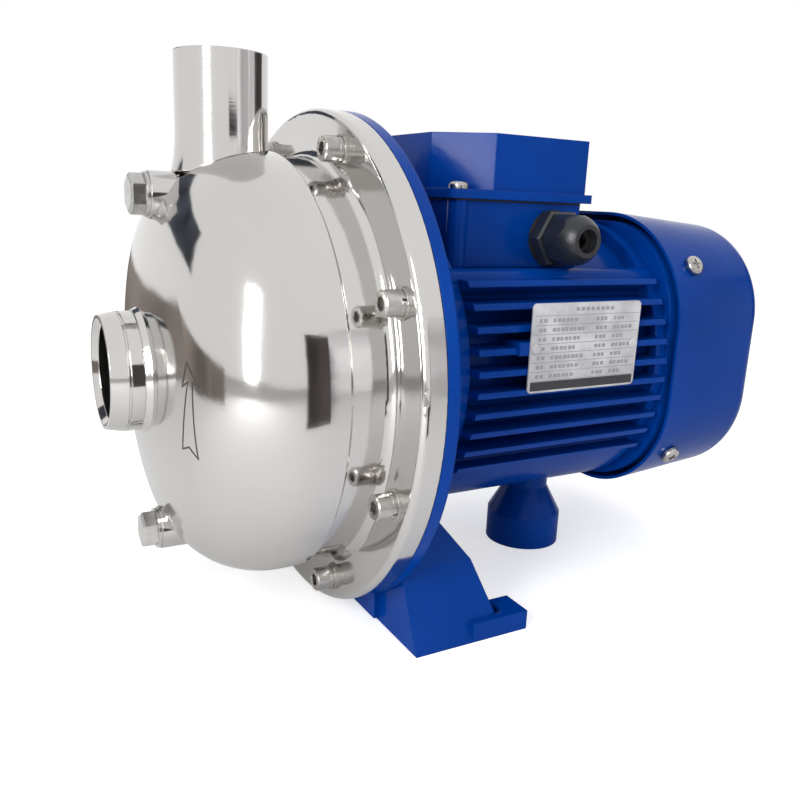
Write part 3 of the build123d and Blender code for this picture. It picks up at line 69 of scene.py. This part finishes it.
class Nodes:
    # Short way to build a material's node tree.
    def __init__(self, name):
        self.material = bpy.data.materials.new(name)
        self.material.use_nodes = True
        self.tree = self.material.node_tree
        self.shader = self.tree.nodes["Principled BSDF"]

    def add(self, kind, links=None, **values):
        node = self.tree.nodes.new(kind)
        for key, value in values.items():
            if key.startswith("in_"):
                node.inputs[int(key[3:])].default_value = value
            else:
                setattr(node, key, value)
        for key, source in (links or {}).items():
            self.tree.links.new(source, node.inputs[key])
        return node

    def set(self, **values):
        names = {
            "color": "Base Color", "metallic": "Metallic", "rough": "Roughness", "ior": "IOR",
            "coat": "Coat Weight", "coat_rough": "Coat Roughness", "spec": "Specular IOR Level",
            "aniso": "Anisotropic",
        }
        for key, value in values.items():
            if key == "color":
                value = (*value, 1.0)
            self.shader.inputs[names[key]].default_value = value

    def link(self, source, socket):
        self.tree.links.new(source, self.shader.inputs[socket])

    def coords(self, scale=(1, 1, 1)):
        texture = self.add("ShaderNodeTexCoord")
        mapping = self.add("ShaderNodeMapping", {"Vector": texture.outputs["Object"]})
        mapping.inputs["Scale"].default_value = scale
        return mapping.outputs["Vector"]

    def noise(self, scale, detail=3.0, stretch=(1, 1, 1), roughness=0.5):
        return self.add(
            "ShaderNodeTexNoise", {"Vector": self.coords(stretch)}, in_2=scale, in_3=detail, in_4=roughness,
        )

    def ramp(self, source, stops):
        ramp = self.add("ShaderNodeValToRGB", {"Fac": source})
        elements = ramp.color_ramp.elements
        while len(elements) > len(stops):
            elements.remove(elements[-1])
        while len(elements) < len(stops):
            elements.new(1.0)
        for element, (position, color) in zip(elements, stops):
            element.position = position
            element.color = (*color, 1.0) if len(color) == 3 else (color[0], color[0], color[0], 1.0)
        return ramp.outputs["Color"]

    def range(self, source, low, high):
        node = self.add("ShaderNodeMapRange", {"Value": source})
        node.inputs["To Min"].default_value = low
        node.inputs["To Max"].default_value = high
        return node.outputs["Result"]

    def bump(self, height, strength, distance, edge=0.0):
        links = {"Height": height}
        if edge:
            round_edge = self.add("ShaderNodeBevel", samples=4)
            round_edge.inputs["Radius"].default_value = edge
            links["Normal"] = round_edge.outputs["Normal"]
        node = self.add("ShaderNodeBump", links)
        node.inputs["Strength"].default_value = strength
        node.inputs["Distance"].default_value = distance
        self.link(node.outputs["Normal"], "Normal")


def polished_steel(name, color, rough, wave, grain):
    # Pressed and polished sheet: faint waviness, fine grain, soft smears.
    m = Nodes(name)
    m.set(color=color, metallic=1.0, rough=rough)
    smear = m.noise(28.0, 4.0, (1, 1, 0.5))
    m.link(m.range(smear.outputs["Fac"], rough * 0.6, rough * 1.5), "Roughness")
    tint = m.noise(11.0, 2.0)
    m.link(m.ramp(tint.outputs["Fac"], [(0.3, [c * 0.93 for c in color]), (0.7, color)]), "Base Color")
    broad = m.noise(34.0, 2.0)
    fine = m.noise(900.0, 2.0, (0.25, 1, 1))
    mixed = m.add("ShaderNodeMath", {0: broad.outputs["Fac"]}, operation="MULTIPLY", in_1=wave)
    total = m.add("ShaderNodeMath", {0: fine.outputs["Fac"], 2: mixed.outputs[0]}, operation="MULTIPLY_ADD", in_1=grain)
    m.bump(total.outputs[0], 0.35, 0.001, 0.0005)
    return m.material


def enamel(name, color, rough=0.16):
    # Glossy sprayed enamel with a light orange peel.
    m = Nodes(name)
    m.set(color=color, rough=rough, coat=0.03, coat_rough=0.04, spec=0.08)
    tint = m.noise(18.0, 3.0)
    m.link(m.ramp(tint.outputs["Fac"], [(0.3, [c * 0.85 for c in color]), (0.75, [c * 1.12 for c in color])]), "Base Color")
    worn = m.noise(60.0, 4.0)
    m.link(m.range(worn.outputs["Fac"], rough * 0.7, rough * 1.6), "Roughness")
    peel = m.noise(420.0, 2.0)
    m.bump(peel.outputs["Fac"], 0.10, 0.0006, 0.0009)
    return m.material


def metal(name, color, rough=0.28, stretch=(1, 1, 1), metallic=1.0):
    # Plain turned or plated metal.
    m = Nodes(name)
    m.set(color=color, metallic=metallic, rough=rough)
    grain = m.noise(300.0, 3.0, stretch)
    m.link(m.range(grain.outputs["Fac"], rough * 0.7, rough * 1.4), "Roughness")
    dirt = m.noise(90.0, 3.0)
    m.link(m.ramp(dirt.outputs["Fac"], [(0.35, [c * 0.7 for c in color]), (0.65, color)]), "Base Color")
    m.bump(grain.outputs["Fac"], 0.12, 0.0004, 0.0004)
    return m.material


def moulded(name, color, rough=0.45, scale=700.0, strength=0.2):
    # Moulded plastic, rubber or ceramic.
    m = Nodes(name)
    m.set(color=color, rough=rough)
    grain = m.noise(scale, 2.0)
    m.link(m.range(grain.outputs["Fac"], rough * 0.8, rough * 1.25), "Roughness")
    tint = m.noise(50.0, 2.0)
    m.link(m.ramp(tint.outputs["Fac"], [(0.3, [c * 0.8 for c in color]), (0.7, color)]), "Base Color")
    m.bump(grain.outputs["Fac"], strength, 0.0003, 0.0005)
    return m.material


STEEL = (0.64, 0.625, 0.61)
BLUE = (0.0, 0.041, 0.27)
looks = {
    "stainless_polished": polished_steel("polished_stainless", STEEL, 0.10, 0.9, 0.03),
    "stainless_plain": metal("plain_stainless", (0.64, 0.63, 0.61), 0.2),
    "screw_steel": metal("plated_screw_steel", (0.58, 0.56, 0.54), 0.24),
    "shaft_steel": metal("ground_steel", (0.62, 0.62, 0.62), 0.2, (0.1, 1, 1)),
    "bearing_steel": metal("bearing_steel", (0.68, 0.69, 0.70), 0.12),
    "core_steel": metal("core_sheets", (0.34, 0.34, 0.35), 0.4, (6, 0.1, 0.1)),
    "bronze": metal("bronze", (0.60, 0.42, 0.20), 0.3),
    "brass_stud": metal("brass", (0.78, 0.58, 0.26), 0.25),
    "copper_winding": metal("varnished_copper", (0.50, 0.20, 0.09), 0.3, (0.2, 1, 1)),
    "blue_enamel": enamel("blue_enamel", BLUE),
    "plate_aluminium": metal("satin_aluminium", (0.62, 0.62, 0.64), 0.42, (0.1, 1, 1), 0.3),
    "gland_plastic": moulded("black_nylon", (0.016, 0.018, 0.022), 0.33),
    "fan_plastic": moulded("fan_plastic", (0.03, 0.03, 0.032), 0.5),
    "board_plastic": moulded("moulding_compound", (0.05, 0.04, 0.035), 0.5),
    "capacitor_plastic": moulded("capacitor_can", (0.78, 0.78, 0.75), 0.4),
    "ceramic_seal": moulded("ceramic", (0.88, 0.86, 0.80), 0.2),
    "seal_carbon": moulded("carbon", (0.04, 0.04, 0.04), 0.35),
    "rubber_black": moulded("rubber", (0.02, 0.02, 0.02), 0.6),
}
slots = {part["node"]: part["material_slot"] for part in frame["record"]["subparts"]}
for node_name, node in nodes.items():
    node.data.materials.clear()
    node.data.materials.append(looks[slots[node_name]])


def mesh_piece(name, points, faces, material, body="pump"):
    mesh = bpy.data.meshes.new(name)
    mesh.from_pydata([tuple(p) for p in points], [], faces)
    mesh.update()
    piece = bpy.data.objects.new(name, mesh)
    bpy.context.collection.objects.link(piece)
    piece.data.materials.append(material)
    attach(piece, body)
    return piece


# Direction arrow engraved on the dome
DOME_R, KNUCKLE_R, DOME_DEPTH, KNUCKLE_STATION = 90.55, 42.0, 47.5, -36.0
CROWN_R = ((DOME_R - KNUCKLE_R) ** 2 + DOME_DEPTH ** 2 - KNUCKLE_R ** 2) / (2 * (DOME_DEPTH - KNUCKLE_R))
CROWN_CENTRE = KNUCKLE_STATION - DOME_DEPTH + CROWN_R


def dome_point(y, rise, lift):
    # Point on the dome's outer face, lifted off it along the face's normal.
    radius = hypot(y, rise)
    edge = (DOME_R - KNUCKLE_R) / (CROWN_R - DOME_DEPTH) * CROWN_R / sqrt(1 + ((DOME_R - KNUCKLE_R) / (CROWN_R - DOME_DEPTH)) ** 2)
    if radius < edge:
        centre_s, centre_r, size = CROWN_CENTRE, 0.0, CROWN_R
    else:
        centre_s, centre_r, size = KNUCKLE_STATION, DOME_R - KNUCKLE_R, KNUCKLE_R
    drop = sqrt(size ** 2 - (radius - centre_r) ** 2)
    grow = (size + lift) / size
    new_radius = centre_r + (radius - centre_r) * grow
    return place(centre_s - drop * grow, y / radius * new_radius, rise / radius * new_radius)


def dome_line(name, outline, width, material, lift=0.06):
    # Closed line of a given width that hugs the dome.
    points, faces = [], []
    count = len(outline)
    for index in range(count):
        a, b = Vector(outline[index]), Vector(outline[(index + 1) % count])
        along = (b - a).normalized()
        side = Vector((-along.y, along.x)) * width / 2
        a, b = a - along * width / 2, b + along * width / 2
        steps = 8
        base = len(points)
        for step in range(steps + 1):
            middle = a.lerp(b, step / steps)
            for sign in (-1, 1):
                q = middle + side * sign
                points.append(dome_point(q.x, q.y, lift))
        for step in range(steps):
            i = base + 2 * step
            faces.append((i, i + 1, i + 3, i + 2))
    return mesh_piece(name, points, faces, material)


engraved = moulded("engraved_line", (0.05, 0.045, 0.04), 0.6)
ARROW = [(-56.4, 14.0), (-53.4, 4.6), (-57.4, 7.0), (-51.0, -19.6), (-56.4, -17.6), (-61.4, -20.8), (-60.6, 7.4), (-64.0, 6.4)]
dome_line("direction_arrow", ARROW, 0.7, engraved)

# Generic print on the nameplate: rules, blank bars and a dark strip
PLATE_FACE = -74.3
PLATE_START, PLATE_LENGTH, PLATE_HEIGHT, PLATE_RISE = 62.4, 60.8, 38.4, 14.4


def plate_marks(name, boxes, material):
    points, faces = [], []
    for left, bottom, width, height in boxes:
        base = len(points)
        for dx, dz in ((0, 0), (width, 0), (width, height), (0, height)):
            rise = PLATE_RISE - PLATE_HEIGHT / 2 + bottom + dz
            points.append(place(PLATE_START + left + dx, PLATE_FACE - 0.04, rise))
        faces.append((base, base + 1, base + 2, base + 3))
    return mesh_piece(name, points, faces, material)


ink = moulded("plate_ink", (0.03, 0.03, 0.035), 0.4)
soft_ink = moulded("plate_soft_ink", (0.30, 0.31, 0.33), 0.4)
ROW_HEIGHT, ROW_BASE, ROW_COUNT, PRINT_MARGIN = 4.0, 5.0, 7, 1.2
PRINT_WIDTH = PLATE_LENGTH - 2 * PRINT_MARGIN
rules = [(PRINT_MARGIN, ROW_BASE + row * ROW_HEIGHT, PRINT_WIDTH, 0.28) for row in range(ROW_COUNT + 1)]
plate_marks("nameplate_rules", rules, soft_ink)
# Each row holds two short label bars and two broken value bars.
bars = []
for row in range(ROW_COUNT):
    bottom = ROW_BASE + row * ROW_HEIGHT + 1.3
    for left, count in ((3.6, 2), (11.0, 6 + row % 3), (35.0, 3), (45.0, 3 + (row * 2) % 4)):
        for index in range(count):
            bars.append((left + index * 2.3, bottom, 1.5 + (index + row) % 2 * 0.4, 1.6))
for index in range(8):
    bars.append((23.0 + index * 2.8, ROW_BASE + ROW_COUNT * ROW_HEIGHT + 1.8, 2.0, 1.6))
plate_marks("nameplate_bars", bars, soft_ink)
plate_marks("nameplate_strip", [(PRINT_MARGIN, 0.9, PRINT_WIDTH, 3.9)], ink)

# Floor and world: the world white to the camera, to reflections and through glass; the floor white to the camera


def shown_level(tree, lighting, camera, mirrored, socket):
    # Level for rays that light the object, for the camera, and for reflections and glass.
    path = tree.nodes.new("ShaderNodeLightPath")
    source = None
    for ray, level in (("Is Glossy Ray", mirrored), ("Is Transmission Ray", mirrored), ("Is Camera Ray", camera)):
        pick = tree.nodes.new("ShaderNodeMix")
        tree.links.new(path.outputs[ray], pick.inputs["Factor"])
        pick.inputs["A"].default_value = lighting
        pick.inputs["B"].default_value = level
        if source:
            tree.links.new(source, pick.inputs["A"])
        source = pick.outputs["Result"]
    tree.links.new(source, socket)


floor_look = Nodes("floor")
floor_look.set(color=(0.80, 0.80, 0.80), rough=0.9, spec=0.1)
floor_look.shader.inputs["Emission Color"].default_value = (1.0, 1.0, 1.0, 1.0)
shown_level(floor_look.tree, 0.16, 0.56, 0.02, floor_look.shader.inputs["Emission Strength"])
bpy.ops.mesh.primitive_plane_add(size=8.0, location=(0, 0, 0))
floor = bpy.context.object
floor.name = "floor"
floor.data.materials.append(floor_look.material)

world = bpy.data.worlds.new("studio")
bpy.context.scene.world = world
world.use_nodes = True
background = world.node_tree.nodes["Background"]
background.inputs["Color"].default_value = (1.0, 1.0, 1.0, 1.0)
shown_level(world.node_tree, 0.55, 1.0, 1.0, background.inputs["Strength"])


MIDDLE = Vector((0.03, 0.0, 0.11))
CAMERA_SIDE = atan2(back.y, back.x)


def around(angle, distance, height):
    # Point round the pump: degrees to the camera's right of the line towards the camera.
    turn = CAMERA_SIDE + radians(angle)
    return Vector((MIDDLE.x + cos(turn) * distance, MIDDLE.y + sin(turn) * distance, height))


def softbox(name, location, size, power, glossy=True):
    data = bpy.data.lights.new(name, "AREA")
    data.shape = "RECTANGLE"
    data.size, data.size_y = size
    data.energy = power
    lamp = bpy.data.objects.new(name, data)
    bpy.context.collection.objects.link(lamp)
    lamp.location = location
    lamp.rotation_euler = (MIDDLE - Vector(location)).to_track_quat("-Z", "Y").to_euler()
    lamp.visible_camera = False
    lamp.visible_glossy = glossy


softbox("window", around(-27, 0.75, 0.36), (0.13, 0.50), 4.0)
softbox("overhead", (0.1, -0.1, 1.3), (1.2, 1.2), 5.5, glossy=False)
softbox("fill", around(60, 0.95, 0.45), (0.5, 0.5), 0.6, glossy=False)


def screen(name, start, end, low, high, distance, color):
    # Curved wall that only reflections see, as the dark side of a room. Angles are as in around().
    steps = 24
    points, faces = [], []
    for step in range(steps + 1):
        angle = start + (end - start) * step / steps
        points += [around(angle, distance, low), around(angle, distance, high)]
    for step in range(steps):
        i = 2 * step
        faces.append((i, i + 2, i + 3, i + 1))
    mesh = bpy.data.meshes.new(name)
    mesh.from_pydata([tuple(point) for point in points], [], faces)
    wall = bpy.data.objects.new(name, mesh)
    bpy.context.collection.objects.link(wall)
    look = Nodes(name)
    look.set(rough=1.0, spec=0.0)
    streaks = look.noise(5.0, 3.0, (1, 1, 0.4))
    stops = [(0.3, [c * 0.4 for c in color]), (0.7, [c * 1.5 for c in color])]
    look.link(look.ramp(streaks.outputs["Fac"], stops), "Base Color")
    wall.data.materials.append(look.material)
    wall.visible_camera = False
    wall.visible_diffuse = False
    wall.visible_shadow = False


screen("dark_figure", 9, 30, 0.0, 0.25, 0.36, (0.12, 0.10, 0.10))
screen("pale_room", 37, 98, 0.0, 0.60, 1.1, (0.90, 0.88, 0.90))
screen("dark_corner", 98, 130, 0.0, 0.60, 1.1, (0.12, 0.10, 0.10))
screen("room_band", -165, -50, 0.0, 0.125, 0.65, (0.24, 0.21, 0.19))
screen("dark_window", -140, -88, 0.42, 0.85, 1.1, (0.07, 0.08, 0.10))

bpy.context.scene.view_settings.view_transform = "Standard"
